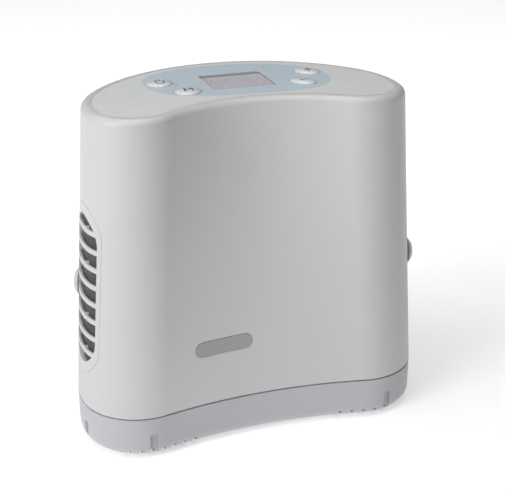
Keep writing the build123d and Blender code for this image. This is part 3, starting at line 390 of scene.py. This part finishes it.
def printed_strokes(name, node, strokes, width):
    """Strokes of ink laid on a key's dome. A stroke is a list of points in mm about the key's centre."""
    low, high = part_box(node)
    centre = (low + high) / 2
    dome = surface_of(node)
    vertices, faces = [], []
    for stroke in strokes:
        points = stroke_points(stroke)
        first = len(vertices)
        for i, point in enumerate(points):
            ahead = points[min(i + 1, len(points) - 1)] - points[max(i - 1, 0)]
            across = Vector((-ahead.y, ahead.x)).normalized() * width / 2
            for side in (-1, 0, 1):
                spot = point + across * side
                x = centre.x + spot.x * MM
                y = centre.y + (spot.y - INK_FORWARD) * MM
                hit = dome.ray_cast(Vector((x, y, high.z + PROBE_HEIGHT)), Vector((0, 0, -1)))[0]
                vertices.append((x, y, hit.z + INK_LIFT * MM))
        for i in range(len(points) - 1):
            for side in (0, 1):
                corner = first + 3 * i + side
                faces.append((corner, corner + 3, corner + 4, corner + 1))
    mesh = bpy.data.meshes.new(name)
    mesh.from_pydata(vertices, [], faces)
    mesh.validate()
    mesh.materials.append(INK)
    piece = bpy.data.objects.new(name, mesh)
    bpy.context.scene.collection.objects.link(piece)
    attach(piece, node)


def arc(radius, start, end, count=24):
    """Points on an arc between two angles in degrees."""
    angles = [radians(start + (end - start) * i / count) for i in range(count + 1)]
    return [(radius * cos(angle), radius * sin(angle)) for angle in angles]


LEVEL = [(-SIGN_HALF, 0), (SIGN_HALF, 0)]
UPRIGHT = [(0, -SIGN_HALF), (0, SIGN_HALF)]
LETTER_M = [
    [(-LETTER_X, -LETTER_Y), (-LETTER_X, LETTER_Y)],
    [(-LETTER_X, LETTER_X), (0, -0.8)],
    [(0, -0.8), (LETTER_X, LETTER_X)],
    [(LETTER_X, LETTER_Y), (LETTER_X, -LETTER_Y)],
]
POWER_RING = [arc(3.0, 125, 415), [(0, 1.2), (0, 4.2)]]
printed_strokes("power_symbol", "power_key", POWER_RING, RING_STROKE_W)
printed_strokes("mode_symbol", "mode_key", LETTER_M, STROKE_W)
printed_strokes("plus_symbol", "plus_key", [LEVEL, UPRIGHT], STROKE_W)
printed_strokes("minus_symbol", "minus_key", [LEVEL], STROKE_W)


# ------------------------------------------------------------------ stage, lights and camera
def add_stage():
    """Pale floor that glows a little, and more behind the object, so that it reads as a white sweep."""
    mesh = bpy.data.meshes.new("floor")
    corners = [(-1, -1), (1, -1), (1, 1), (-1, 1)]
    mesh.from_pydata([(FLOOR_REACH * x, FLOOR_REACH * y, 0) for x, y in corners], [], [(0, 1, 2, 3)])
    floor = bpy.data.objects.new("floor", mesh)
    bpy.context.scene.collection.objects.link(floor)
    floor_paint = moulded_plastic("floor_paint", (0.85, 0.85, 0.85), 0.7, 90.0, 0.0, 0.004)
    tree = floor_paint.node_tree
    behind = tree.nodes.new("ShaderNodeVectorMath")
    behind.operation = "DOT_PRODUCT"
    link(tree, position(tree), behind.inputs[0])
    behind.inputs[1].default_value = REARWARD
    shader = tree.nodes["Principled BSDF"]
    shader.inputs["Emission Color"].default_value = (1, 1, 1, 1)
    glow = remap(tree, behind.outputs["Value"], GLOW_FROM, GLOW_TO, NEAR_GLOW, REAR_GLOW)
    link(tree, glow, shader.inputs["Emission Strength"])
    mesh.materials.append(floor_paint)


def add_light(name, place, side, power):
    """Square soft light aimed at the middle of the object."""
    light = bpy.data.lights.new(name, "AREA")
    light.shape = "RECTANGLE"
    light.size = side
    light.size_y = side
    light.energy = power
    lamp = bpy.data.objects.new(name, light)
    lamp.location = place
    lamp.rotation_euler = (Vector(CENTRE) - Vector(place)).to_track_quat("-Z", "Y").to_euler()
    bpy.context.scene.collection.objects.link(lamp)


def add_camera():
    data = bpy.data.cameras.new("camera")
    data.lens = 81.95
    data.sensor_width = 36.0
    camera = bpy.data.objects.new("camera", data)
    target = Vector(CAMERA_TARGET) * MM
    camera.location = Vector(CAMERA_PLACE) * MM
    camera.rotation_euler = (target - camera.location).to_track_quat("-Z", "Y").to_euler()
    bpy.context.scene.collection.objects.link(camera)
    bpy.context.scene.camera = camera


def add_world():
    world = bpy.data.worlds.new("studio")
    world.use_nodes = True
    background = world.node_tree.nodes["Background"]
    background.inputs["Color"].default_value = (1, 1, 1, 1)
    background.inputs["Strength"].default_value = 0.02
    bpy.context.scene.world = world


add_stage()
add_camera()
add_light("key_left", (-1.15, -0.55, 0.75), 0.7, 9.9)
add_light("top_soft", (-0.12, -0.10, 1.42), 1.2, 12.5)
add_world()
bpy.context.scene.view_settings.view_transform = "Standard"
